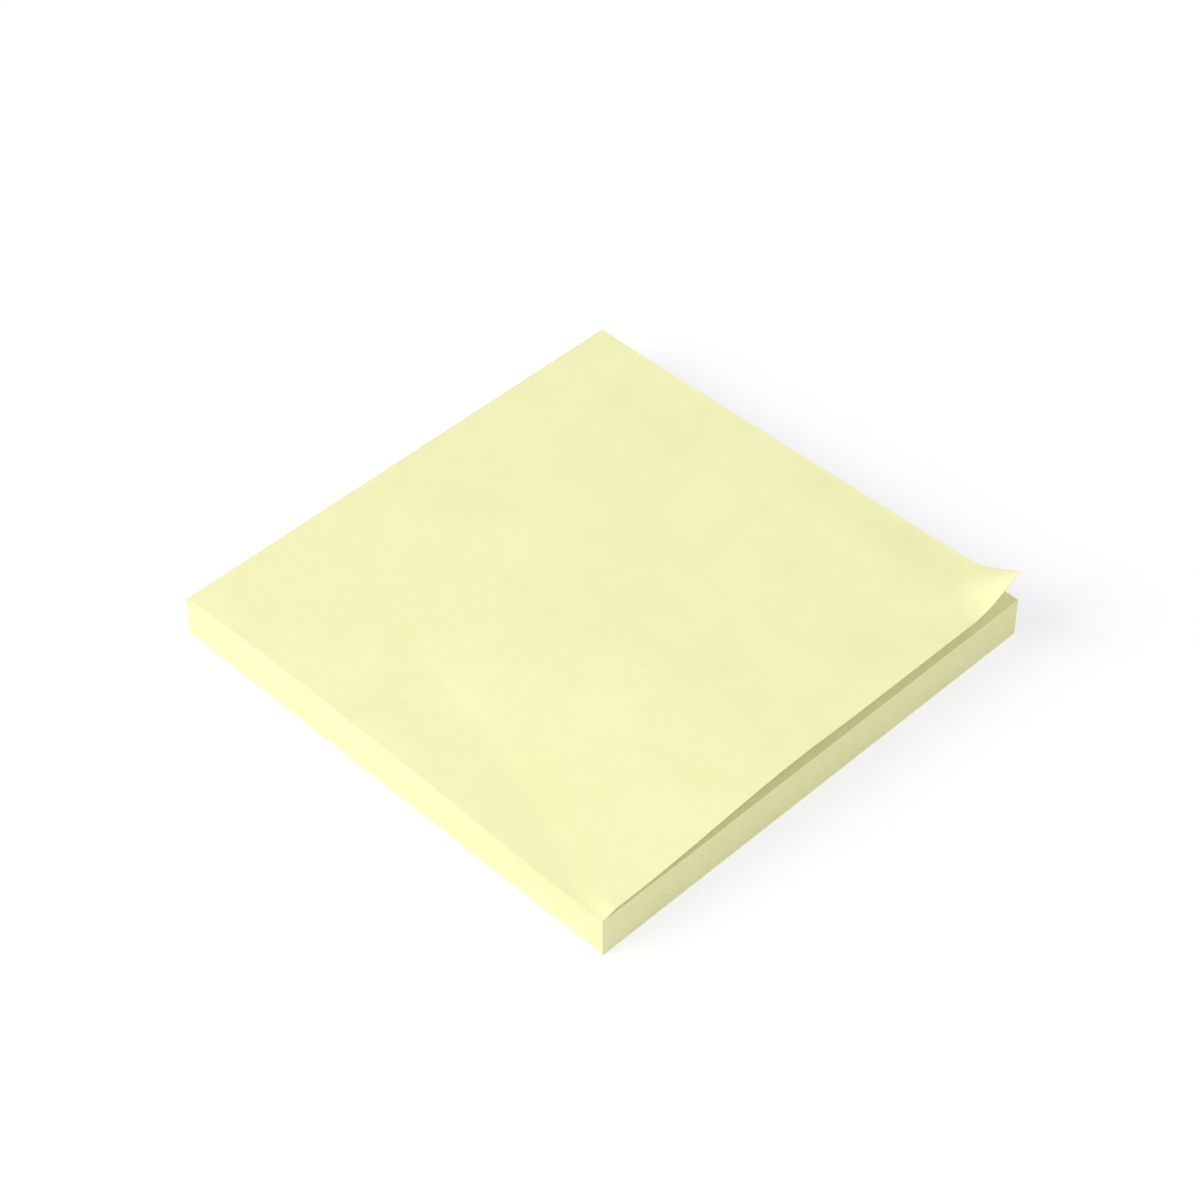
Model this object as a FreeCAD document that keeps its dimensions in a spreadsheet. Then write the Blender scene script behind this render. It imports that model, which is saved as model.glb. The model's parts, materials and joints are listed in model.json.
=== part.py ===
import FreeCAD, Part
import math
import os

import Sketcher

# Sticky note pad: a backing sheet, a block of square notes, a strip of removable
# adhesive along the back edge, and the top note, which is stuck down along that
# strip and has come up towards its front edge and its right front corner.
#
# Millimetres. +Z is up, +Y points to the glued back edge and +X to the right.
# The origin is the centre of the underside.

SIZES = {
    # the notes
    "note_width": 76.2,
    "note_depth": 76.2,
    "sheet_thickness": 0.1,
    "sheet_count": 60,
    # the sheet under the notes
    "backing_thickness": 0.2,
    # the adhesive that holds the top note, measured in from the back edge
    "adhesive_depth": 12.0,
    "adhesive_thickness": 0.03,
    # how far the front edge of the top note stands off its glued level, left to right
    "lift_left": 0.56,
    "lift_ridge": 2.26,
    "lift_dip": 2.04,
    "lift_right": 1.52,
    # the margin along the left edge over which it comes up from the stack
    "margin_width": 1.3,
    # lengths along the front edge: level at the left, up to the ridge, down to the dip,
    # and the last stretch before the right edge, over which it drops again
    "rise_start": 4.4,
    "rise_length": 31.0,
    "dip_length": 10.6,
    "fall_length": 7.9,
    # the length over which the sheet turns up off the stack
    "peel_length": 3.2,
    # how far back from the front edge the note is loose at its left edge, and the width
    # over which that grows until the note is loose right up to the adhesive
    "loose_at_left": 13.0,
    "loosening_width": 22.0,
    # the curl of the right front corner: how far it reaches in from the tip, the radius
    # and the angle in degrees of its bend, and how far it draws the tip in
    "curl_reach": 9.06,
    "curl_radius": 9.1,
    "curl_angle": 26.8,
    "curl_draw_in": 0.25,
}

# Steps across and along the net of points that shapes the loose part of the top note
NET_STEPS = 50
SURFACE_DEGREE = 3


def make_sizes(doc):
    sheet = doc.addObject("Spreadsheet::Sheet", "sizes")
    for row, (alias, value) in enumerate(SIZES.items(), start=1):
        sheet.set(f"A{row}", alias)
        sheet.set(f"B{row}", str(value))
        sheet.setAlias(f"B{row}", alias)
    doc.recompute()
    return sheet


def origin_plane(body, role):
    for feature in body.Origin.OriginFeatures:
        if feature.Role == role:
            return feature
    raise ValueError(f"{body.Label} has no {role}")


def rectangle_sketch(body, name, width, depth):
    """A rectangle centred on the body's own origin, sized by two expressions."""
    sketch = body.newObject("Sketcher::SketchObject", name)
    sketch.AttachmentSupport = [(origin_plane(body, "XY_Plane"), "")]
    sketch.MapMode = "FlatFace"
    corners = [(-1, -1), (1, -1), (1, 1), (-1, 1)]
    points = [FreeCAD.Vector(x, y, 0) for x, y in corners]
    for index in range(4):
        sketch.addGeometry(Part.LineSegment(points[index], points[(index + 1) % 4]), False)
    for index in range(4):
        sketch.addConstraint(Sketcher.Constraint("Coincident", index, 2, (index + 1) % 4, 1))
    for index in (0, 2):
        sketch.addConstraint(Sketcher.Constraint("Horizontal", index))
    for index in (1, 3):
        sketch.addConstraint(Sketcher.Constraint("Vertical", index))
    sketch.addConstraint(Sketcher.Constraint("Symmetric", 0, 1, 1, 2, -1, 1))
    width_index = sketch.addConstraint(Sketcher.Constraint("DistanceX", 0, 1, 0, 2, 2.0))
    sketch.renameConstraint(width_index, "width")
    sketch.setExpression("Constraints.width", width)
    depth_index = sketch.addConstraint(Sketcher.Constraint("DistanceY", 1, 1, 1, 2, 2.0))
    sketch.renameConstraint(depth_index, "depth")
    sketch.setExpression("Constraints.depth", depth)
    return sketch


def flat_layer(doc, label, width, depth, height, back, level):
    """A rectangular layer that is padded up from its level, with its middle at y = back."""
    body = doc.addObject("PartDesign::Body", label)
    body.Label = label
    sketch = rectangle_sketch(body, f"{label}_outline", width, depth)
    pad = body.newObject("PartDesign::Pad", f"{label}_pad")
    pad.Profile = sketch
    pad.setExpression("Length", height)
    body.setExpression("Placement.Base.y", back)
    body.setExpression("Placement.Base.z", level)
    return body


def make_backing_sheet(doc):
    return flat_layer(
        doc, "backing_sheet",
        width="sizes.note_width", depth="sizes.note_depth", height="sizes.backing_thickness",
        back="0", level="0",
    )


def make_note_block(doc):
    return flat_layer(
        doc, "note_block",
        width="sizes.note_width", depth="sizes.note_depth",
        height="sizes.sheet_count * sizes.sheet_thickness",
        back="0", level="sizes.backing_thickness",
    )


def make_adhesive_strip(doc):
    return flat_layer(
        doc, "adhesive_strip",
        width="sizes.note_width", depth="sizes.adhesive_depth", height="sizes.adhesive_thickness",
        back="(sizes.note_depth - sizes.adhesive_depth) / 2",
        level="sizes.backing_thickness + sizes.sheet_count * sizes.sheet_thickness",
    )


def ease(share):
    """Nought before the stretch, one after it, and level at both of its ends."""
    share = min(max(share, 0.0), 1.0)
    return share * share * (3 - 2 * share)


def front_edge_lift(sheet, from_left):
    """Lift of the front edge, before the corner's curl, at a distance from the left edge."""
    past_rise_start = from_left - sheet.rise_start
    past_ridge = past_rise_start - sheet.rise_length
    past_fall_start = from_left - (sheet.note_width - sheet.fall_length)
    lift = sheet.lift_left
    lift += (sheet.lift_ridge - sheet.lift_left) * ease(past_rise_start / sheet.rise_length)
    lift += (sheet.lift_dip - sheet.lift_ridge) * ease(past_ridge / sheet.dip_length)
    lift += (sheet.lift_right - sheet.lift_dip) * ease(past_fall_start / sheet.fall_length)
    return lift


def loose_depth_at(sheet, from_left):
    """Depth of the loose part of the note, from the front edge back to where it lies down."""
    full_depth = sheet.note_depth - sheet.adhesive_depth
    grown = ease(from_left / sheet.loosening_width)
    return sheet.loose_at_left + (full_depth - sheet.loose_at_left) * grown


def peel_share(sheet, from_left, from_front):
    """Share of the front edge's lift that the note has at a point of it."""
    loose_depth = loose_depth_at(sheet, from_left)
    loose_here = max(loose_depth - from_front, 0.0)
    rise_here = math.hypot(loose_here, sheet.peel_length) - sheet.peel_length
    rise_at_front = math.hypot(loose_depth, sheet.peel_length) - sheet.peel_length
    return rise_here / rise_at_front


def curl_rise(sheet, past_fold):
    """Rise of the curl past its fold: a round bend, then straight at its angle."""
    angle = math.radians(sheet.curl_angle)
    bend_length = sheet.curl_radius * math.sin(angle)
    round_part = min(max(past_fold, 0.0), bend_length)
    straight_part = max(past_fold - bend_length, 0.0)
    bend_rise = sheet.curl_radius - math.sqrt(sheet.curl_radius ** 2 - round_part ** 2)
    return bend_rise + straight_part * math.tan(angle)


def corner_curl(sheet, from_right, from_front):
    """Rise of the curled corner, which fades with the distance from its tip."""
    from_tip = math.hypot(from_right, from_front)
    return curl_rise(sheet, sheet.curl_reach - from_tip)


def note_point(sheet, x, y):
    """A point of the top note's underside, from its place on the flat sheet."""
    from_left = x + sheet.note_width / 2
    from_right = sheet.note_width / 2 - x
    from_front = y + sheet.note_depth / 2
    lift = front_edge_lift(sheet, from_left) * peel_share(sheet, from_left, from_front)
    lift *= ease(from_left / sheet.margin_width)
    curl = corner_curl(sheet, from_right, from_front)
    draw = sheet.curl_draw_in * curl / curl_rise(sheet, sheet.curl_reach) / math.sqrt(2)
    return FreeCAD.Vector(x - draw, y + draw, lift + curl)


def smooth_surface(net):
    """A smooth surface that hangs in a square net of points and ends on its outer rows."""
    inner_knots = len(net) - SURFACE_DEGREE - 1
    end_knot = SURFACE_DEGREE + 1
    repeats = [end_knot] + [1] * inner_knots + [end_knot]
    knots = list(range(len(repeats)))
    surface = Part.BSplineSurface()
    surface.buildFromPolesMultsKnots(
        net, repeats, repeats, knots, knots, False, False, SURFACE_DEGREE, SURFACE_DEGREE
    )
    return surface


def make_top_note(doc, sheet):
    left = -sheet.note_width / 2
    front = -sheet.note_depth / 2
    loose_depth = sheet.note_depth - sheet.adhesive_depth
    net = []
    for column in range(NET_STEPS + 1):
        x = left + sheet.note_width * column / NET_STEPS
        net.append([
            note_point(sheet, x, front + loose_depth * row / NET_STEPS)
            for row in range(NET_STEPS + 1)
        ])
    underside = smooth_surface(net)
    upward = FreeCAD.Vector(0, 0, sheet.sheet_thickness)
    loose_part = underside.toShape().extrude(upward)
    stuck_part = Part.makeBox(
        sheet.note_width, sheet.adhesive_depth, sheet.sheet_thickness,
        FreeCAD.Vector(left, front + loose_depth, 0),
    )
    note = doc.addObject("Part::Feature", "top_note")
    note.Label = "top_note"
    note.Shape = loose_part.fuse(stuck_part).removeSplitter()
    stack = sheet.backing_thickness + sheet.sheet_count * sheet.sheet_thickness
    note.Placement = FreeCAD.Placement(
        FreeCAD.Vector(0, 0, stack + sheet.adhesive_thickness), FreeCAD.Rotation()
    )
    return note


def check(doc, parts):
    for item in doc.Objects:
        if "Invalid" in item.State or "Error" in item.State:
            raise RuntimeError(f"{item.Label} failed: {item.State}")
    for part in parts:
        if part.Shape.isNull() or not part.Shape.isValid():
            raise RuntimeError(f"{part.Label} has no valid shape")
        if len(part.Shape.Solids) != 1:
            raise RuntimeError(f"{part.Label} isn't one solid")


def main():
    doc = FreeCAD.newDocument("sticky_note_pad")
    sheet = make_sizes(doc)
    parts = [
        make_backing_sheet(doc),
        make_note_block(doc),
        make_adhesive_strip(doc),
        make_top_note(doc, sheet),
    ]
    doc.recompute()
    check(doc, parts)
    os.makedirs("parts", exist_ok=True)
    for part in parts:
        part.Shape.exportStep(f"parts/{part.Label}.step")
        box = part.Shape.BoundBox
        print(f"{part.Label}: volume {part.Shape.Volume:.2f} mm3, z {box.ZMin:.3f} to {box.ZMax:.3f}")


main()
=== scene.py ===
import json
import math

import bpy
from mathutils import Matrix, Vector

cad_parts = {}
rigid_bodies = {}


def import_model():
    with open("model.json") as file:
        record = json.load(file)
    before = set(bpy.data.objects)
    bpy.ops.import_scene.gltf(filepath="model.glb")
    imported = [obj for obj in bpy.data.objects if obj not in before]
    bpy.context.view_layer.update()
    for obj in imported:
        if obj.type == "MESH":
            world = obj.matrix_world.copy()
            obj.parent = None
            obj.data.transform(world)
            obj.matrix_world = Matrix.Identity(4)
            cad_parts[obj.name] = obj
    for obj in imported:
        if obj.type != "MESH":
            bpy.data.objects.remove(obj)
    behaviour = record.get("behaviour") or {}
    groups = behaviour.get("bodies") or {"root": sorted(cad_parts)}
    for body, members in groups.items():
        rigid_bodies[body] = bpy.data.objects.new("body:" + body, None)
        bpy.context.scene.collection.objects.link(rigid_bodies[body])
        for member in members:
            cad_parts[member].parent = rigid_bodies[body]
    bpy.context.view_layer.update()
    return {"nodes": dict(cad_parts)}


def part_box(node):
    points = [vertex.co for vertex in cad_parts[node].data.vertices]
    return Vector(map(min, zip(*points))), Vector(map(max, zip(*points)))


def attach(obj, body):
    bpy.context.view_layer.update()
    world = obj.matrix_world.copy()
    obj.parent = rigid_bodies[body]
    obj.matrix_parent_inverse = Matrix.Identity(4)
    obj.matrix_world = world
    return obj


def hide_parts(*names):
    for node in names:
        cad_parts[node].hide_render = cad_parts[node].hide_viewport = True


# A pad of square sticky notes on a pale floor. The stack under the top note is made of
# thin sheets with a breath of air between them, cut a little hollow at the left. The top
# note lies down along its adhesive and its left edge, lifts towards the front edge and
# curls up at the right front corner.

bl_info = {
    "name": "Sticky Note Pad",
    "version": (1, 0, 0),
    "blender": (4, 5, 0),
    "location": "View3D > Sidebar > Note Pad",
    "description": "Builds a pad of sticky notes with a lifted top note",
    "category": "Add Mesh",
}

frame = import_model()
BLOCK_LOW, BLOCK_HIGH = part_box("note_block")
STRIP_LOW, STRIP_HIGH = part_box("adhesive_strip")

MM = 0.001
BODY = "root"

# Points along the left edges of a sheet and of the film, where they follow the hollow cut
SHEET_EDGE_POINTS = 97
FILM_EDGE_POINTS = 17
# The top note's left edge goes in with the cut, fading over this many times its depth
NARROWING_REACH = 6.0
# How far the floor lies under the pad, and the width of the camera's sensor in millimetres
FLOOR_DROP = 0.02 * MM
SENSOR_WIDTH = 36


def from_screen(red, green, blue):
    """A colour in linear light, from its 8-bit value on a screen."""
    linear = []
    for channel in (red, green, blue):
        share = channel / 255
        linear.append(share / 12.92 if share <= 0.04045 else ((share + 0.055) / 1.055) ** 2.4)
    return tuple(linear)


def length(name, description, default):
    """A size in metres that can be set in the sidebar."""
    return bpy.props.FloatProperty(
        name=name, description=description, default=default, precision=5,
        subtype="DISTANCE", unit="LENGTH",
    )


def colour(name, description, default):
    """A colour that can be set in the sidebar."""
    return bpy.props.FloatVectorProperty(
        name=name, description=description, default=default, size=3,
        subtype="COLOR", min=0.0, max=1.0,
    )


class PadSizes(bpy.types.PropertyGroup):
    """Sizes of the stack of sheets and of the top note."""

    sheet_count: bpy.props.IntProperty(
        name="Sheets", description="Notes in the stack under the top one", default=60, min=1
    )
    air_share: bpy.props.FloatProperty(
        name="Air", description="Share of the stack's height that is air between sheets",
        default=0.05, subtype="FACTOR", min=0.0, max=0.5,
    )
    sheet_shift: length("Shift", "How far a sheet may lie out of line", 0.012 * MM)
    sheet_turn: bpy.props.FloatProperty(
        name="Turn", description="How far a sheet may lie turned in the stack",
        default=math.radians(0.006), subtype="ANGLE", unit="ROTATION", precision=5,
    )
    stack_seed: bpy.props.IntProperty(
        name="Seed", description="Seed of the sheets' places", default=7
    )
    hollow_depth: length("Hollow", "How far the cut at the left goes in at its deepest", 0.66 * MM)
    hollow_height: length("Hollow Height", "Height of the hollow, down from the top note", 2.6 * MM)
    hollow_middle: length("Hollow Middle", "Where along the left edge it is deepest", 8.0 * MM)
    hollow_front: length("Hollow Front", "From there to its front end", 40.0 * MM)
    hollow_corner: length("Hollow Corner", "Length over which it starts at the corner", 0.8 * MM)
    hollow_back_loss: bpy.props.FloatProperty(
        name="Hollow Back Loss", description="Share of its depth that is gone at the back",
        default=0.47, subtype="FACTOR", min=0.0, max=1.0,
    )
    sheet_thickness: length("Thickness", "Thickness of the top note", 0.1 * MM)
    lift_left: length("Left Lift", "Lift of the front edge at its left end", 0.56 * MM)
    lift_ridge: length("Ridge Lift", "Highest lift of the front edge", 2.26 * MM)
    lift_dip: length("Dip Lift", "Lift of the front edge right of its ridge", 2.04 * MM)
    lift_right: length("Right Lift", "Lift at the right end, without the curl", 1.52 * MM)
    margin_width: length("Left Margin", "Margin over which the note comes up", 2.6 * MM)
    rise_start: length("Rise Start", "Where the front edge starts to rise", 4.4 * MM)
    rise_length: length("Rise Length", "From there to the ridge", 31.0 * MM)
    dip_length: length("Dip Length", "From the ridge to the dip", 10.6 * MM)
    fall_length: length("Fall Length", "The drop before the right edge", 7.9 * MM)
    peel_length: length("Peel Length", "Length over which the note turns up", 3.2 * MM)
    loose_at_left: length("Loose at Left", "Loose depth of the note at its left edge", 7.0 * MM)
    loosening_width: length("Loosening Width", "Width over which it grows", 22.0 * MM)
    curl_reach: length("Curl Reach", "How far the curl reaches in from its tip", 9.06 * MM)
    curl_radius: length("Curl Radius", "Radius of the curl's bend", 9.1 * MM)
    curl_angle: bpy.props.FloatProperty(
        name="Curl Angle", description="Slope of the corner past the bend",
        default=math.radians(26.8), subtype="ANGLE", unit="ROTATION",
    )
    curl_draw_in: length("Curl Draw-in", "How far the curl draws the corner in", 0.25 * MM)
    note_cells: bpy.props.IntProperty(
        name="Cells", description="Cells of the top note's mesh along a side", default=180, min=8
    )


class PadColours(bpy.types.PropertyGroup):
    """Colours of the paper and the adhesive, in linear light."""

    paper: colour("Paper", "Face of the notes", from_screen(244, 243, 189))
    paper_shade: colour("Paper Shade", "Darker clouds in the face", from_screen(239, 237, 180))
    edge: colour("Cut Edge", "Cut edges of the stack", from_screen(243, 242, 191))
    edge_shade: colour("Cut Edge Shade", "Darker sheets in the stack", from_screen(239, 238, 185))
    backing: colour("Backing", "Backing sheet", from_screen(251, 250, 212))
    backing_shade: colour("Backing Shade", "Fibres in the backing", from_screen(244, 242, 200))
    adhesive: colour("Adhesive", "Adhesive strip", from_screen(241, 238, 190))
    adhesive_shade: colour("Adhesive Shade", "Thin places in it", from_screen(233, 230, 178))


class StageSettings(bpy.types.PropertyGroup):
    """The floor, the light and the camera."""

    sky_strength: bpy.props.FloatProperty(
        name="Sky", description="Light from all round", default=0.42, min=0.0
    )
    lamp_strength: bpy.props.FloatProperty(
        name="Lamp", description="Strength of the far lamp behind the left corner",
        default=1.88, min=0.0,
    )
    lamp_elevation: bpy.props.FloatProperty(
        name="Lamp Elevation", description="Height of the far lamp over the floor",
        default=math.radians(33), subtype="ANGLE", unit="ROTATION",
    )
    lamp_azimuth: bpy.props.FloatProperty(
        name="Lamp Azimuth", description="Way to the far lamp, from the left towards the back",
        default=math.radians(30), subtype="ANGLE", unit="ROTATION",
    )
    lamp_spread: bpy.props.FloatProperty(
        name="Lamp Spread", description="Width of the far lamp as seen from the pad",
        default=math.radians(45), subtype="ANGLE", unit="ROTATION",
    )
    front_strength: bpy.props.FloatProperty(
        name="Front Lamp", description="Strength of the lamp in front, which the floor doesn't get",
        default=1.08, min=0.0,
    )
    front_elevation: bpy.props.FloatProperty(
        name="Front Elevation", description="Height of the front lamp over the floor",
        default=math.radians(40), subtype="ANGLE", unit="ROTATION",
    )
    front_spread: bpy.props.FloatProperty(
        name="Front Spread", description="Width of the front lamp as seen from the pad",
        default=math.radians(30), subtype="ANGLE", unit="ROTATION",
    )
    panel_power: bpy.props.FloatProperty(
        name="Panel", description="Power of the light panel close to the left edge",
        default=0.04, min=0.0, subtype="POWER", unit="POWER",
    )
    panel_place: bpy.props.FloatVectorProperty(
        name="Panel Place", description="The middle of the panel",
        default=(-160 * MM, 45 * MM, 100 * MM), size=3, subtype="XYZ", unit="LENGTH",
    )
    panel_length: length("Panel Length", "Length of the panel along the left edge", 160 * MM)
    panel_height: length("Panel Height", "Height of the panel", 100 * MM)
    floor_size: length("Floor", "Side of the floor", 6.0)
    shadow_share: bpy.props.FloatProperty(
        name="Shadow", description="Share of the shadows that the white floor shows",
        default=0.34, subtype="FACTOR", min=0.0, max=0.99,
    )
    shadow_tint: colour("Shadow Tint", "Colour of the floor's own share", (1.0, 1.0, 0.8))
    floor_level: bpy.props.FloatProperty(
        name="Floor Level", description="Brightness of the floor far from the pad",
        default=1.005, min=0.0,
    )
    floor_light: bpy.props.FloatProperty(
        name="Floor Light", description="Light that the floor gets far from the pad",
        default=0.76, min=0.1,
    )
    floor_bounce: bpy.props.FloatProperty(
        name="Floor Bounce", description="Share of its light that the floor sends on to the pad",
        default=0.88, subtype="FACTOR", min=0.0, max=1.0,
    )
    camera_azimuth: bpy.props.FloatProperty(
        name="Camera Azimuth", description="Way to the camera, round from the front",
        default=math.radians(-45.02), subtype="ANGLE", unit="ROTATION",
    )
    camera_elevation: bpy.props.FloatProperty(
        name="Camera Elevation", description="Height of the camera over the floor",
        default=math.radians(44.91), subtype="ANGLE", unit="ROTATION",
    )
    camera_distance: length("Camera Distance", "From the camera to the pad's top", 429.4 * MM)
    camera_target: bpy.props.FloatVectorProperty(
        name="Camera Target", description="The point that the camera looks at",
        default=(-0.28 * MM, 0.12 * MM, 6.28 * MM), size=3, subtype="XYZ", unit="LENGTH",
        precision=5,
    )
    camera_lens: bpy.props.FloatProperty(
        name="Lens", description="Focal length in millimetres on a 36 mm sensor", default=99.54
    )


class Value:
    """A node's output. Python's operators on it add Math nodes to its tree."""

    def __init__(self, nodes, socket):
        self.nodes = nodes
        self.socket = socket

    def __add__(self, other):
        return self.nodes.math("ADD", self, other)

    __radd__ = __add__

    def __sub__(self, other):
        return self.nodes.math("SUBTRACT", self, other)

    def __rsub__(self, other):
        return self.nodes.math("SUBTRACT", other, self)

    def __mul__(self, other):
        return self.nodes.math("MULTIPLY", self, other)

    __rmul__ = __mul__

    def __truediv__(self, other):
        return self.nodes.math("DIVIDE", self, other)

    def __neg__(self):
        return self.nodes.math("MULTIPLY", self, -1.0)


class Nodes:
    """A node tree, shader or geometry. Every node in it comes from add."""

    def __init__(self, tree):
        self.tree = tree

    def add(self, kind, settings=None, inputs=None, output=0):
        """A node of a type, with its settings and its sockets' values or links."""
        node = self.tree.nodes.new(kind)
        for name, setting in (settings or {}).items():
            setattr(node, name, setting)
        for name, given in (inputs or {}).items():
            if isinstance(given, Value):
                self.tree.links.new(given.socket, node.inputs[name])
            else:
                node.inputs[name].default_value = given
        return Value(self, node.outputs[output]) if node.outputs else None

    def output(self, kind, name):
        """The named output of a new node that needs no inputs."""
        return Value(self, self.add(kind).socket.node.outputs[name])

    def math(self, operation, first, second=0.0):
        return self.add("ShaderNodeMath", {"operation": operation}, {0: first, 1: second})

    def smallest(self, first, second):
        return self.math("MINIMUM", first, second)

    def largest(self, first, second):
        return self.math("MAXIMUM", first, second)

    def root(self, value):
        return self.math("SQRT", value)

    def ease(self, share):
        """Nought before the stretch, one after it, and level at both of its ends."""
        share = self.smallest(self.largest(share, 0.0), 1.0)
        return share * share * (3.0 - 2.0 * share)

    def axes(self, vector):
        """The three numbers of a vector."""
        split = self.add("ShaderNodeSeparateXYZ", None, {0: vector})
        return [Value(self, socket) for socket in split.socket.node.outputs]

    def vector(self, x, y, z):
        return self.add("ShaderNodeCombineXYZ", None, {0: x, 1: y, 2: z})

    def blend(self, share, first, second):
        """A colour between two colours."""
        return self.add(
            "ShaderNodeMix", {"data_type": "RGBA"}, {0: share, 6: first, 7: second}, output=2
        )


def geometry_tree(name):
    """An empty geometry tree, ready for the inputs that sizes are given to."""
    tree = bpy.data.node_groups.new(name, "GeometryNodeTree")
    tree.interface.new_socket("Geometry", in_out="OUTPUT", socket_type="NodeSocketGeometry")
    return tree


class TreeInputs:
    """Named inputs of a geometry tree, each with the value that its modifier gets."""

    KINDS = {float: "NodeSocketFloat", int: "NodeSocketInt"}

    def __init__(self, tree, values):
        self.values = {}
        for name, value in values.items():
            socket = tree.interface.new_socket(
                name, in_out="INPUT", socket_type=self.KINDS[type(value)]
            )
            self.values[socket.identifier] = value
        self.nodes = Nodes(tree)
        group = tree.nodes.new("NodeGroupInput")
        self.outputs = {socket.name: Value(self.nodes, socket) for socket in group.outputs}

    def __getitem__(self, name):
        return self.outputs[name]


def finish_tree(nodes, geometry, material):
    """The tree's end: real meshes, their material and the output."""
    real = nodes.add("GeometryNodeRealizeInstances", None, {0: geometry})
    painted = nodes.add("GeometryNodeSetMaterial", None, {0: real, 2: material})
    out = nodes.tree.nodes.new("NodeGroupOutput")
    nodes.tree.links.new(painted.socket, out.inputs[0])


def plain_mesh(name, tree, inputs, smooth_angle=math.radians(35)):
    """An object of that name whose mesh is what the tree makes of its inputs."""
    maker = bpy.data.objects.new(f"{name}_maker", bpy.data.meshes.new(f"{name}_maker"))
    bpy.context.scene.collection.objects.link(maker)
    modifier = maker.modifiers.new("maker", "NODES")
    modifier.node_group = tree
    for identifier, value in inputs.values.items():
        modifier[identifier] = value
    graph = bpy.context.evaluated_depsgraph_get()
    mesh = bpy.data.meshes.new_from_object(maker.evaluated_get(graph), depsgraph=graph)
    maker.modifiers.remove(modifier)
    bpy.data.objects.remove(maker)
    mesh.name = name
    mesh.shade_smooth()
    mesh.set_sharp_from_angle(angle=smooth_angle)
    piece = bpy.data.objects.new(name, mesh)
    bpy.context.scene.collection.objects.link(piece)
    return piece


def hollow_inputs(sizes):
    """What the trees that follow the hollow cut take for it."""
    return {
        "Width": BLOCK_HIGH.x - BLOCK_LOW.x,
        "Depth": BLOCK_HIGH.y - BLOCK_LOW.y,
        "Top": BLOCK_HIGH.z,
        "Hollow Depth": sizes.hollow_depth,
        "Hollow Height": sizes.hollow_height,
        "Hollow Middle": sizes.hollow_middle,
        "Hollow Front": sizes.hollow_front,
        "Hollow Corner": sizes.hollow_corner,
        "Hollow Back Loss": sizes.hollow_back_loss,
    }


def hollow_of_cut(nodes, y, z, values):
    """How far the left edge goes in, at a place along it and at a height."""
    half = values["Depth"] * 0.5
    past_middle = y - values["Hollow Middle"]
    behind = nodes.largest(past_middle / (half - values["Hollow Middle"]), 0.0)
    back_loss = values["Hollow Back Loss"] * behind * behind * behind
    front_loss = nodes.ease(-past_middle / values["Hollow Front"])
    start = nodes.ease((half - y) / values["Hollow Corner"])
    up = nodes.ease(1.0 - (values["Top"] - z) / values["Hollow Height"])
    return values["Hollow Depth"] * (1.0 - back_loss) * (1.0 - front_loss) * start * up


def cut_hollow(nodes, geometry, values):
    """Moves the left edges of flat sheets in, to where the cut is."""
    x, y, z = nodes.axes(nodes.add("GeometryNodeInputPosition"))
    inward = hollow_of_cut(nodes, y, z, values) * nodes.math("LESS_THAN", x, 0.0)
    return nodes.add("GeometryNodeSetPosition", None, {
        0: geometry, "Offset": nodes.vector(inward, 0.0, 0.0),
    })


def make_note_stack(sizes, material):
    """The notes under the top one, each a thin sheet with its own small offset."""
    tree = geometry_tree("stack_of_sheets")
    pitch = (BLOCK_HIGH.z - BLOCK_LOW.z) / sizes.sheet_count
    values = TreeInputs(tree, {
        **hollow_inputs(sizes),
        "Bottom": BLOCK_LOW.z,
        "Pitch": pitch,
        "Thickness": pitch * (1 - sizes.air_share),
        "Count": sizes.sheet_count,
        "Shift": sizes.sheet_shift,
        "Turn": sizes.sheet_turn,
        "Seed": sizes.stack_seed,
    })
    nodes = values.nodes
    sheet = nodes.add("GeometryNodeMeshCube", None, {
        "Size": nodes.vector(
            values["Width"] - 2.0 * values["Shift"],
            values["Depth"] - 2.0 * values["Shift"],
            values["Thickness"],
        ),
        "Vertices X": 2,
        "Vertices Y": SHEET_EDGE_POINTS,
        "Vertices Z": 2,
    })
    line = nodes.add("GeometryNodeMeshLine", {"mode": "OFFSET"}, {
        "Count": values["Count"],
        "Start Location": nodes.vector(0.0, 0.0, values["Bottom"] + values["Pitch"] * 0.5),
        "Offset": nodes.vector(0.0, 0.0, values["Pitch"]),
    })
    turn = nodes.add("FunctionNodeRandomValue", {"data_type": "FLOAT"}, {
        2: -values["Turn"], 3: values["Turn"], "Seed": values["Seed"] + 1.0,
    }, output=1)
    stack = nodes.add("GeometryNodeInstanceOnPoints", None, {
        "Points": line, "Instance": sheet, "Rotation": nodes.vector(0.0, 0.0, turn),
    })
    shift = nodes.add("FunctionNodeRandomValue", {"data_type": "FLOAT_VECTOR"}, {
        0: nodes.vector(-values["Shift"], -values["Shift"], 0.0),
        1: nodes.vector(values["Shift"], values["Shift"], 0.0),
        "Seed": values["Seed"],
    })
    shifted = nodes.add("GeometryNodeTranslateInstances", None, {0: stack, "Translation": shift})
    real = nodes.add("GeometryNodeRealizeInstances", None, {0: shifted})
    finish_tree(nodes, cut_hollow(nodes, real, values), material)
    return plain_mesh("note_stack", tree, values)


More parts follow.
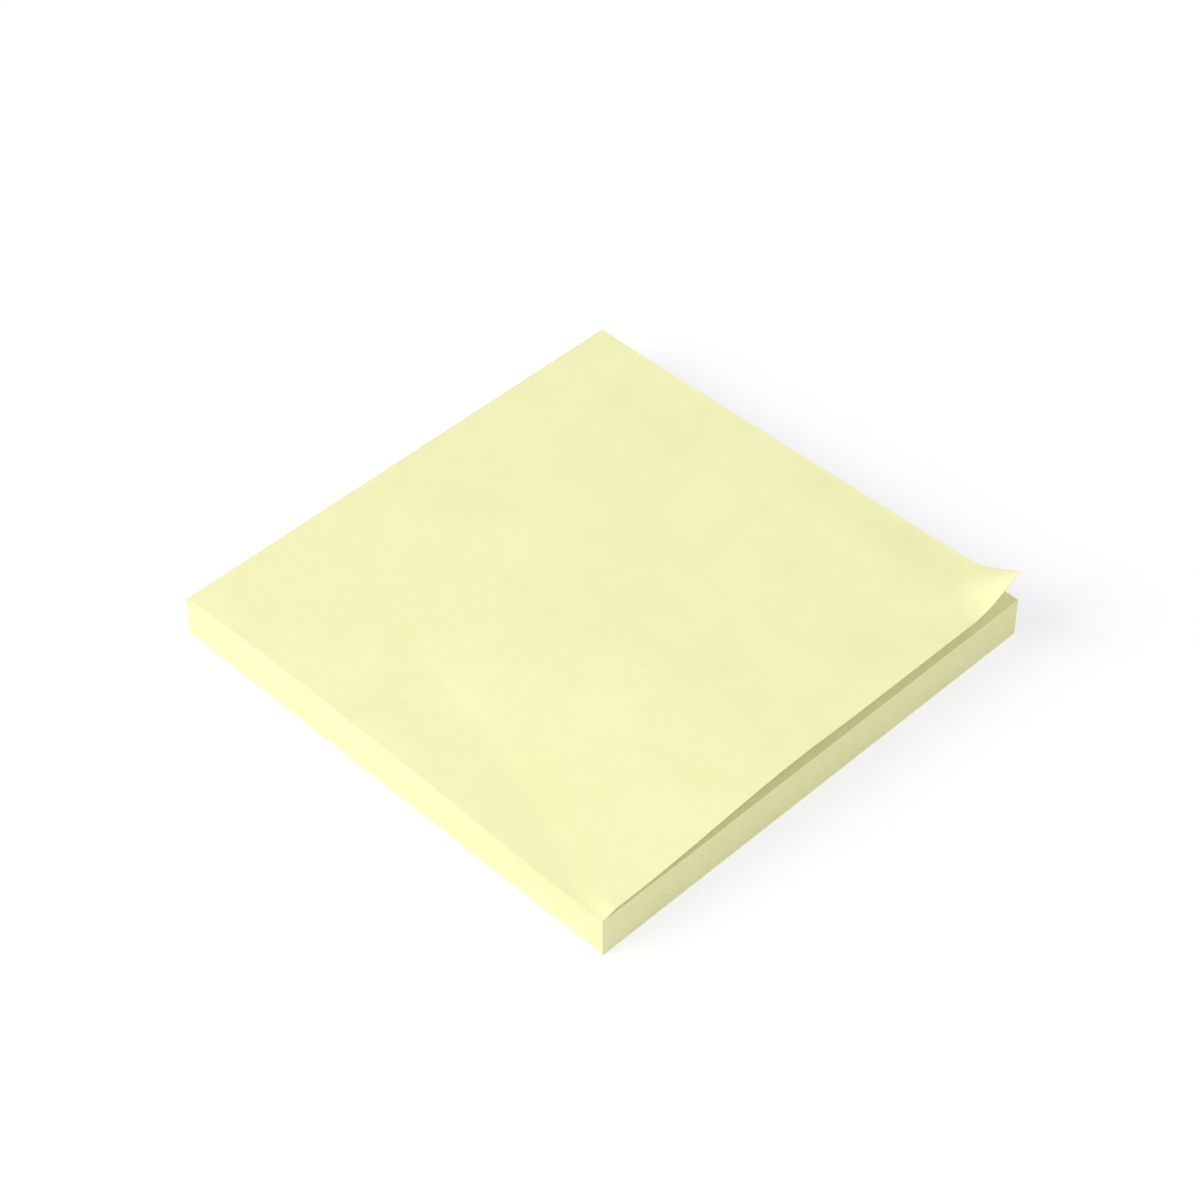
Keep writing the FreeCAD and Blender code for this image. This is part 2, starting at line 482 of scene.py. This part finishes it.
def make_adhesive_film(sizes, material):
    """The adhesive under the back of the top note, cut off at the left like the sheets."""
    tree = geometry_tree("film")
    values = TreeInputs(tree, {
        **hollow_inputs(sizes),
        "Strip Depth": STRIP_HIGH.y - STRIP_LOW.y,
        "Strip Thickness": STRIP_HIGH.z - STRIP_LOW.z,
    })
    nodes = values.nodes
    flat = nodes.add("GeometryNodeMeshCube", None, {
        "Size": nodes.vector(values["Width"], values["Strip Depth"], values["Strip Thickness"]),
        "Vertices X": 2,
        "Vertices Y": FILM_EDGE_POINTS,
        "Vertices Z": 2,
    })
    place = nodes.vector(
        0.0,
        (values["Depth"] - values["Strip Depth"]) * 0.5,
        values["Top"] + values["Strip Thickness"] * 0.5,
    )
    placed = nodes.add("GeometryNodeSetPosition", None, {0: flat, "Offset": place})
    finish_tree(nodes, cut_hollow(nodes, placed, values), material)
    return plain_mesh("adhesive_film", tree, values)


def lift_of_front_edge(nodes, from_left, values):
    """Lift of the front edge, before the corner's curl."""
    past_rise_start = from_left - values["Rise Start"]
    past_ridge = past_rise_start - values["Rise Length"]
    past_fall_start = from_left - values["Width"] + values["Fall Length"]
    rise = nodes.ease(past_rise_start / values["Rise Length"])
    dip = nodes.ease(past_ridge / values["Dip Length"])
    fall = nodes.ease(past_fall_start / values["Fall Length"])
    lift = values["Left Lift"] + (values["Ridge Lift"] - values["Left Lift"]) * rise
    lift = lift + (values["Dip Lift"] - values["Ridge Lift"]) * dip
    return lift + (values["Right Lift"] - values["Dip Lift"]) * fall


def share_of_lift(nodes, from_left, from_front, values):
    """Share of the front edge's lift that the note has at a point of it."""
    full = values["Depth"] - values["Adhesive Depth"]
    grown = nodes.ease(from_left / values["Loosening Width"])
    loose = values["Loose at Left"] + (full - values["Loose at Left"]) * grown
    loose_here = nodes.largest(loose - from_front, 0.0)
    peel = values["Peel Length"]
    rise_here = nodes.root(loose_here * loose_here + peel * peel) - peel
    rise_at_front = nodes.root(loose * loose + peel * peel) - peel
    return rise_here / rise_at_front


def rise_of_curl(nodes, past_fold, values):
    """Rise of the curl past its fold: a round bend, then straight at its angle."""
    radius = values["Curl Radius"]
    bend_length = radius * nodes.math("SINE", values["Curl Angle"])
    round_part = nodes.smallest(nodes.largest(past_fold, 0.0), bend_length)
    straight_part = nodes.largest(past_fold - bend_length, 0.0)
    bend_rise = radius - nodes.root(radius * radius - round_part * round_part)
    return bend_rise + straight_part * nodes.math("TANGENT", values["Curl Angle"])


def make_top_note(sizes, material):
    """The top note: flat on its adhesive, lifted towards the front and curled at a corner."""
    tree = geometry_tree("lifted_note")
    values = TreeInputs(tree, {
        **hollow_inputs(sizes),
        "Thickness": sizes.sheet_thickness,
        "Level": STRIP_HIGH.z,
        "Adhesive Depth": STRIP_HIGH.y - STRIP_LOW.y,
        "Cells": sizes.note_cells,
        "Left Lift": sizes.lift_left,
        "Ridge Lift": sizes.lift_ridge,
        "Dip Lift": sizes.lift_dip,
        "Right Lift": sizes.lift_right,
        "Rise Start": sizes.rise_start,
        "Rise Length": sizes.rise_length,
        "Dip Length": sizes.dip_length,
        "Fall Length": sizes.fall_length,
        "Left Margin": sizes.margin_width,
        "Peel Length": sizes.peel_length,
        "Loose at Left": sizes.loose_at_left,
        "Loosening Width": sizes.loosening_width,
        "Curl Reach": sizes.curl_reach,
        "Curl Radius": sizes.curl_radius,
        "Curl Angle": sizes.curl_angle,
        "Curl Draw-in": sizes.curl_draw_in,
    })
    nodes = values.nodes
    corners = values["Cells"] + 1.0
    flat = nodes.add("GeometryNodeMeshCube", None, {
        "Size": nodes.vector(values["Width"], values["Depth"], values["Thickness"]),
        "Vertices X": corners,
        "Vertices Y": corners,
        "Vertices Z": 2,
    })
    x, y, _ = nodes.axes(nodes.add("GeometryNodeInputPosition"))
    from_left = x + values["Width"] * 0.5
    from_front = y + values["Depth"] * 0.5
    lift = lift_of_front_edge(nodes, from_left, values)
    lift = lift * share_of_lift(nodes, from_left, from_front, values)
    lift = lift * nodes.ease(from_left / values["Left Margin"])
    from_right = values["Width"] - from_left
    from_tip = nodes.root(from_right * from_right + from_front * from_front)
    curl = rise_of_curl(nodes, values["Curl Reach"] - from_tip, values)
    tip_rise = rise_of_curl(nodes, values["Curl Reach"], values)
    draw = values["Curl Draw-in"] * math.sqrt(0.5) * curl / tip_rise
    inward = hollow_of_cut(nodes, y, values["Top"], values)
    narrowing = nodes.ease(1.0 - from_left / (values["Hollow Depth"] * NARROWING_REACH))
    level = values["Level"] + values["Thickness"] * 0.5
    shaped = nodes.add("GeometryNodeSetPosition", None, {
        0: flat,
        "Offset": nodes.vector(inward * narrowing - draw, draw, level + lift + curl),
    })
    finish_tree(nodes, shaped, material)
    return plain_mesh("top_sheet", tree, values)


class Finish:
    """A procedural material: its node tree and its main shader."""

    def __init__(self, name):
        self.material = bpy.data.materials.new(name)
        self.material.use_nodes = True
        self.nodes = Nodes(self.material.node_tree)
        self.shader = self.material.node_tree.nodes["Principled BSDF"]
        self.place = self.nodes.add("ShaderNodeTexCoord", output=3)

    def set(self, name, value):
        """Gives the shader a constant, or links a value that changes over the surface."""
        if isinstance(value, Value):
            self.nodes.tree.links.new(value.socket, self.shader.inputs[name])
        else:
            self.shader.inputs[name].default_value = value

    def noise(self, size, detail=3.0, roughness=0.55, stretch=(1.0, 1.0, 1.0)):
        """Noise from nought to one whose features have that size, in metres."""
        scaled = self.nodes.add(
            "ShaderNodeVectorMath", {"operation": "MULTIPLY"},
            {0: self.place, 1: tuple(factor / size for factor in stretch)},
        )
        return self.nodes.add(
            "ShaderNodeTexNoise", {"noise_dimensions": "3D"},
            {"Vector": scaled, "Scale": 1.0, "Detail": detail, "Roughness": roughness},
        )

    def spread(self, value, low, high):
        """Nought below low and one above high."""
        share = (value - low) / (high - low)
        return self.nodes.smallest(self.nodes.largest(share, 0.0), 1.0)

    def bump(self, height, distance, strength):
        """Relief of that height, drawn by the shading alone."""
        self.set("Normal", self.nodes.add(
            "ShaderNodeBump", None,
            {"Strength": strength, "Distance": distance, "Height": height},
        ))


def solid(rgb):
    """A colour with full opacity, as colour sockets take it."""
    return (*rgb, 1.0)


def note_paper(colours):
    """The face of a note: pale, matt, softly clouded, with fine fibres."""
    finish = Finish("note_paper")
    clouds = finish.noise(10 * MM, detail=6.0, roughness=0.68)
    fibres = finish.noise(0.35 * MM, detail=4.0, roughness=0.6, stretch=(1.0, 0.45, 1.0))
    tooth = finish.noise(0.12 * MM, detail=2.0)
    shade = finish.spread(clouds, 0.35, 0.65) * 0.85 + fibres * 0.15
    finish.set("Base Color", finish.nodes.blend(
        shade, solid(colours.paper_shade), solid(colours.paper)
    ))
    finish.set("Roughness", 0.84 + 0.1 * fibres)
    finish.set("Specular IOR Level", 0.25)
    finish.bump(fibres * 0.6 + tooth * 0.4, distance=0.012 * MM, strength=0.35)
    return finish.material


def cut_edges(colours, sizes):
    """The stack of sheets: every sheet a slightly different shade, with a cut grain."""
    finish = Finish("cut_edges")
    nodes = finish.nodes
    pitch = (BLOCK_HIGH.z - BLOCK_LOW.z) / sizes.sheet_count
    height = nodes.axes(finish.place)[2]
    number = nodes.math("FLOOR", (height - BLOCK_LOW.z) / pitch)
    by_sheet = nodes.add("ShaderNodeTexWhiteNoise", {"noise_dimensions": "1D"}, {"W": number})
    grain = finish.noise(0.5 * MM, detail=3.0, stretch=(1.0, 1.0, 6.0))
    clouds = finish.noise(14 * MM, detail=3.0)
    shade = 0.35 * by_sheet + 0.25 * grain + 0.4 * finish.spread(clouds, 0.35, 0.65)
    finish.set("Base Color", nodes.blend(
        shade, solid(colours.edge_shade), solid(colours.edge)
    ))
    finish.set("Roughness", 0.86 + 0.1 * grain)
    finish.set("Specular IOR Level", 0.2)
    finish.bump(grain, distance=0.01 * MM, strength=0.3)
    return finish.material


def backing_paper(colours):
    """The backing sheet: stiffer, with a coarser mix of fibres."""
    finish = Finish("backing_paper")
    fibres = finish.noise(0.6 * MM, detail=4.0, roughness=0.65, stretch=(1.0, 0.35, 1.0))
    clouds = finish.noise(9 * MM, detail=4.0)
    shade = 0.5 * finish.spread(fibres, 0.3, 0.7) + 0.5 * finish.spread(clouds, 0.3, 0.7)
    finish.set("Base Color", finish.nodes.blend(
        shade, solid(colours.backing_shade), solid(colours.backing)
    ))
    finish.set("Roughness", 0.82 + 0.12 * fibres)
    finish.set("Specular IOR Level", 0.25)
    finish.bump(fibres, distance=0.02 * MM, strength=0.4)
    return finish.material


def adhesive_film(colours):
    """The adhesive: a thin coat of fine beads, glossier where it is whole."""
    finish = Finish("adhesive_film")
    beads = finish.nodes.add(
        "ShaderNodeTexVoronoi", {"voronoi_dimensions": "3D", "feature": "F1"},
        {"Vector": finish.place, "Scale": 1 / (0.16 * MM)},
    )
    thin = finish.spread(finish.noise(1.5 * MM, detail=4.0), 0.4, 0.65)
    finish.set("Base Color", finish.nodes.blend(
        thin, solid(colours.adhesive), solid(colours.adhesive_shade)
    ))
    finish.set("Roughness", 0.42 + 0.3 * thin)
    finish.set("Specular IOR Level", 0.4)
    finish.bump(1.0 - beads, distance=0.015 * MM, strength=0.5)
    return finish.material


def settle(piece, slot_name, *nodes):
    """Joins a finished piece to the part's body and hides the nodes it stands for. Its slot name is
    not used.
    """
    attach(piece, BODY)
    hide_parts(*nodes)


class NOTEPAD_OT_stack(bpy.types.Operator):
    """Build the stack of notes under the top one"""

    bl_idname = "notepad.stack"
    bl_label = "Stack of Notes"

    def execute(self, context):
        scene = context.scene
        material = cut_edges(scene.pad_colours, scene.pad_sizes)
        settle(make_note_stack(scene.pad_sizes, material), "note_paper", "note_block")
        return {"FINISHED"}


class NOTEPAD_OT_top_note(bpy.types.Operator):
    """Build the top note, lifted at its front edge and curled at a corner"""

    bl_idname = "notepad.top_note"
    bl_label = "Top Note"

    def execute(self, context):
        scene = context.scene
        material = note_paper(scene.pad_colours)
        settle(make_top_note(scene.pad_sizes, material), "note_paper", "top_note")
        return {"FINISHED"}


class NOTEPAD_OT_adhesive(bpy.types.Operator):
    """Build the adhesive film under the back of the top note"""

    bl_idname = "notepad.adhesive"
    bl_label = "Adhesive"

    def execute(self, context):
        scene = context.scene
        material = adhesive_film(scene.pad_colours)
        piece = make_adhesive_film(scene.pad_sizes, material)
        settle(piece, "adhesive", "adhesive_strip")
        return {"FINISHED"}


class NOTEPAD_OT_backing(bpy.types.Operator):
    """Finish the backing sheet"""

    bl_idname = "notepad.backing"
    bl_label = "Backing Sheet"

    def execute(self, context):
        mesh = frame["nodes"]["backing_sheet"].data
        mesh.materials.clear()
        mesh.materials.append(backing_paper(context.scene.pad_colours))
        return {"FINISHED"}


def looked_at(nodes):
    """One where the camera or a reflection looks, and nought for the light on the pad."""
    return nodes.largest(
        nodes.output("ShaderNodeLightPath", "Is Camera Ray"),
        nodes.output("ShaderNodeLightPath", "Is Glossy Ray"),
    )


def make_floor(stage):
    """A white floor that shows only a share of the shadows, and is open from below."""
    half = stage.floor_size / 2
    mesh = bpy.data.meshes.new("floor")
    corners = [(-half, -half), (half, -half), (half, half), (-half, half)]
    mesh.from_pydata([(x, y, -FLOOR_DROP) for x, y in corners], [], [(0, 1, 2, 3)])
    floor = bpy.data.objects.new("floor", mesh)
    bpy.context.scene.collection.objects.link(floor)
    material = bpy.data.materials.new("white_floor")
    material.use_nodes = True
    nodes = Nodes(material.node_tree)
    nodes.tree.nodes.clear()
    # to the camera: a steady glow, mixed with a lit floor that brings the shadows and that
    # has its own tint far from the pad, where both together give the floor's level
    shade_colour = [tint / stage.floor_light for tint in stage.shadow_tint]
    shaded = nodes.add("ShaderNodeBsdfDiffuse", None, {"Color": solid(shade_colour)})
    glow_colour = [
        (stage.floor_level - stage.shadow_share * tint) / (1 - stage.shadow_share)
        for tint in stage.shadow_tint
    ]
    glow = nodes.add("ShaderNodeEmission", None, {"Color": solid(glow_colour)})
    seen = nodes.add("ShaderNodeMixShader", None, {0: stage.shadow_share, 1: glow, 2: shaded})
    # to the pad: an even pale floor
    bounce_colour = [stage.floor_bounce] * 3
    lit = nodes.add("ShaderNodeBsdfDiffuse", None, {"Color": solid(bounce_colour)})
    top_side = nodes.add("ShaderNodeMixShader", None, {0: looked_at(nodes), 1: lit, 2: seen})
    open_below = nodes.add("ShaderNodeBsdfTransparent")
    from_below = nodes.output("ShaderNodeNewGeometry", "Backfacing")
    both = nodes.add("ShaderNodeMixShader", None, {0: from_below, 1: top_side, 2: open_below})
    out = nodes.tree.nodes.new("ShaderNodeOutputMaterial")
    nodes.tree.links.new(both.socket, out.inputs["Surface"])
    mesh.materials.append(material)


def hang_light(light, place):
    """Puts a light at a place and turns it towards the pad."""
    lamp = bpy.data.objects.new(light.name, light)
    bpy.context.scene.collection.objects.link(lamp)
    lamp.location = place
    lamp.rotation_euler = place.to_track_quat("Z", "Y").to_euler()
    return lamp


def pad_pieces():
    """The pad's own pieces, without the floor."""
    pieces = bpy.data.collections.new("pad_pieces")
    for item in bpy.context.scene.objects:
        if item.type == "MESH" and item.name != "floor":
            pieces.objects.link(item)
    return pieces


def make_light(stage):
    """Even light from all round, two broad lamps and a panel close to the left edge."""
    world = bpy.data.worlds.new("soft_sky")
    bpy.context.scene.world = world
    world.use_nodes = True
    nodes = Nodes(world.node_tree)
    nodes.tree.nodes.clear()
    strength = stage.sky_strength + (1.0 - stage.sky_strength) * looked_at(nodes)
    sky = nodes.add("ShaderNodeBackground", None, {
        "Color": (1.0, 1.0, 1.0, 1.0), "Strength": strength,
    })
    out = nodes.tree.nodes.new("ShaderNodeOutputWorld")
    nodes.tree.links.new(sky.socket, out.inputs["Surface"])
    lamp = bpy.data.lights.new("far_lamp", "SUN")
    lamp.energy = stage.lamp_strength
    lamp.angle = stage.lamp_spread
    level = math.cos(stage.lamp_elevation)
    to_lamp = Vector((
        -math.cos(stage.lamp_azimuth) * level,
        math.sin(stage.lamp_azimuth) * level,
        math.sin(stage.lamp_elevation),
    ))
    hang_light(lamp, to_lamp)
    # the front lamp lights the pad alone, so the floor keeps one clear shadow
    front = bpy.data.lights.new("front_lamp", "SUN")
    front.energy = stage.front_strength
    front.angle = stage.front_spread
    to_front = Vector((0, -math.cos(stage.front_elevation), math.sin(stage.front_elevation)))
    hang_light(front, to_front).light_linking.receiver_collection = pad_pieces()
    panel = bpy.data.lights.new("near_panel", "AREA")
    panel.shape = "RECTANGLE"
    panel.size = stage.panel_length
    panel.size_y = stage.panel_height
    panel.energy = stage.panel_power
    hang_light(panel, Vector(stage.panel_place))


def make_camera(stage):
    """The camera, at the photograph's angle and distance."""
    camera = bpy.data.cameras.new("camera")
    camera.sensor_width = SENSOR_WIDTH
    camera.lens = stage.camera_lens
    camera.clip_start = 0.01
    camera.clip_end = 20
    camera_object = bpy.data.objects.new("camera", camera)
    bpy.context.scene.collection.objects.link(camera_object)
    level = math.cos(stage.camera_elevation)
    back = Vector((
        math.sin(stage.camera_azimuth) * level,
        -math.cos(stage.camera_azimuth) * level,
        math.sin(stage.camera_elevation),
    ))
    camera_object.location = Vector(stage.camera_target) + back * stage.camera_distance
    camera_object.rotation_euler = (-back).to_track_quat("-Z", "Y").to_euler()
    bpy.context.scene.camera = camera_object


class NOTEPAD_OT_stage(bpy.types.Operator):
    """Set up the floor, the light and the camera"""

    bl_idname = "notepad.stage"
    bl_label = "Stage"

    def execute(self, context):
        stage = context.scene.pad_stage
        make_floor(stage)
        make_light(stage)
        make_camera(stage)
        context.scene.view_settings.view_transform = "Standard"
        return {"FINISHED"}


OPERATORS = (
    NOTEPAD_OT_backing, NOTEPAD_OT_stack, NOTEPAD_OT_adhesive, NOTEPAD_OT_top_note,
    NOTEPAD_OT_stage,
)


class NOTEPAD_PT_panel(bpy.types.Panel):
    """Lists the pieces of the pad and the sizes and colours they are built with"""

    bl_label = "Sticky Note Pad"
    bl_idname = "NOTEPAD_PT_panel"
    bl_space_type = "VIEW_3D"
    bl_region_type = "UI"
    bl_category = "Note Pad"

    def draw(self, context):
        layout = self.layout
        for operator in OPERATORS:
            layout.operator(operator.bl_idname)
        for group in (context.scene.pad_sizes, context.scene.pad_colours, context.scene.pad_stage):
            box = layout.box()
            for name in group.bl_rna.properties.keys():
                if name not in ("rna_type", "name"):
                    box.prop(group, name)


CLASSES = (PadSizes, PadColours, StageSettings, *OPERATORS, NOTEPAD_PT_panel)


def register():
    """Makes the sizes, the operators and the panel known."""
    for item in CLASSES:
        bpy.utils.register_class(item)
    bpy.types.Scene.pad_sizes = bpy.props.PointerProperty(type=PadSizes)
    bpy.types.Scene.pad_colours = bpy.props.PointerProperty(type=PadColours)
    bpy.types.Scene.pad_stage = bpy.props.PointerProperty(type=StageSettings)


def unregister():
    """Takes away what register has added."""
    del bpy.types.Scene.pad_stage
    del bpy.types.Scene.pad_colours
    del bpy.types.Scene.pad_sizes
    for item in reversed(CLASSES):
        bpy.utils.unregister_class(item)


def main():
    """Builds the pad, then its stage, whose front lamp lights only what is built by then."""
    register()
    bpy.ops.notepad.backing()
    bpy.ops.notepad.stack()
    bpy.ops.notepad.adhesive()
    bpy.ops.notepad.top_note()
    bpy.ops.notepad.stage()


if __name__ == "__main__":
    main()
